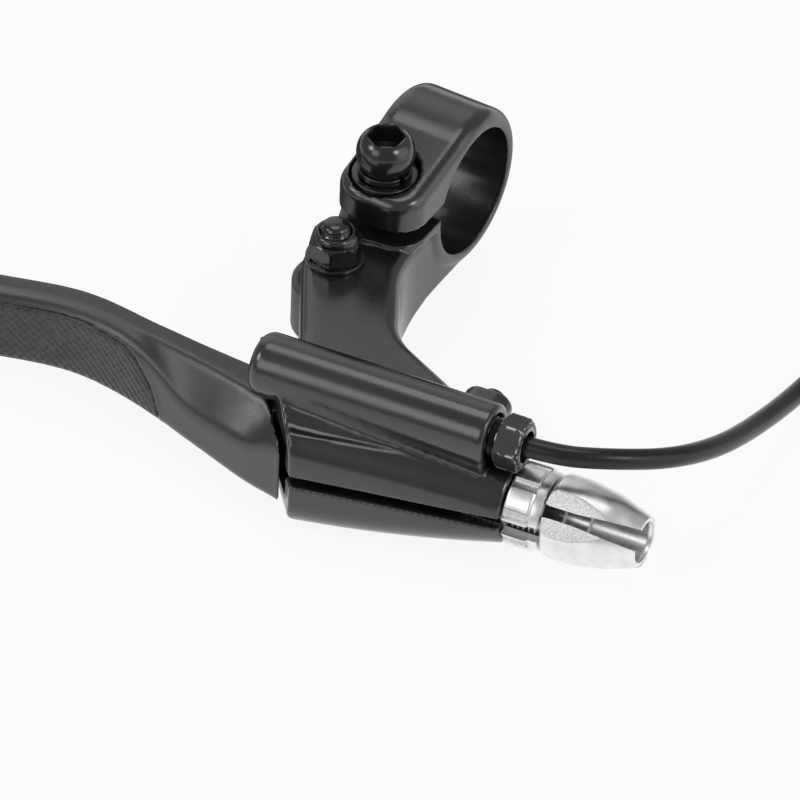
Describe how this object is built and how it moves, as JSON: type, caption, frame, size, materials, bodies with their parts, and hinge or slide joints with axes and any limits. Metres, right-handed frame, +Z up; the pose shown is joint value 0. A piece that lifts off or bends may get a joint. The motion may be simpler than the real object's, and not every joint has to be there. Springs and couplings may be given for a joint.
{
  "type": "bicycle brake lever",
  "caption": "Flat-bar bicycle brake lever with a handlebar clamp, sprung blade, slotted barrel adjuster and a brake-sensing switch with its lead.",
  "frame": {"origin": "on the axis of the handlebar bore, in the plane of the clamp bolt", "axes": "+X along the handlebar, inboard towards the stem; +Y from the lever to the handlebar; +Z up along the pivot bolt"},
  "size_m": [0.24, 0.1257, 0.0376],
  "materials": {
    "black_paint": "satin black paint on cast aluminium",
    "grip_pad": "matt black with a fine cross-hatched weave",
    "black_steel": "glossy black-oxide steel",
    "black_gland": "satin black with bare worn edges",
    "bright_alloy": "bright polished alloy",
    "spring_steel": "plain spring steel",
    "bush_plastic": "natural nylon",
    "switch_plastic": "black moulded plastic",
    "seal_rubber": "black rubber",
    "lead_jacket": "semi-matt black jacket",
    "pin_brass": "plated brass"
  },
  "bodies": {
    "bracket": {"bracket": "black_paint", "clamp_washer": "black_steel", "clamp_spring_washer": "black_steel", "clamp_bolt": "black_steel", "pivot_bolt": "black_steel", "pivot_washer": "black_steel", "pivot_nut": "black_steel", "pivot_nut_insert": "switch_plastic", "return_spring": "spring_steel", "switch_capsule": "switch_plastic", "switch_grommet": "seal_rubber", "switch_gland": "black_gland", "gland_lock_screw": "black_steel", "switch_lead": "lead_jacket", "lead_plug": "switch_plastic", "plug_pins": "pin_brass"},
    "lever": {"lever_blade": "black_paint", "grip_inlay": "grip_pad", "pivot_bush_upper": "bush_plastic", "pivot_bush_lower": "bush_plastic", "switch_magnet": "spring_steel"},
    "adjuster": {"barrel_adjuster": "bright_alloy"},
    "lock_ring": {"lock_ring": "bright_alloy"}
  },
  "joints": [
    {"name": "lever_pull", "type": "hinge", "parent": "bracket", "child": "lever", "pos_m": [-0.0014, -0.0282, -0.008], "axis": [0, 0, -1], "range_deg": [0, 22], "stiffness_Nm_per_rad": 0.3, "springref_deg": -40.11},
    {"name": "adjuster_turn", "type": "hinge", "parent": "bracket", "child": "adjuster", "pos_m": [0.0493, -0.0562, -0.008], "axis": [0.9957, 0.0924, 0], "continuous": true},
    {"name": "lock_ring_turn", "type": "hinge", "parent": "adjuster", "child": "lock_ring", "pos_m": [0.05269, -0.05589, -0.008], "axis": [0.9957, 0.0924, 0], "continuous": true}
  ]
}
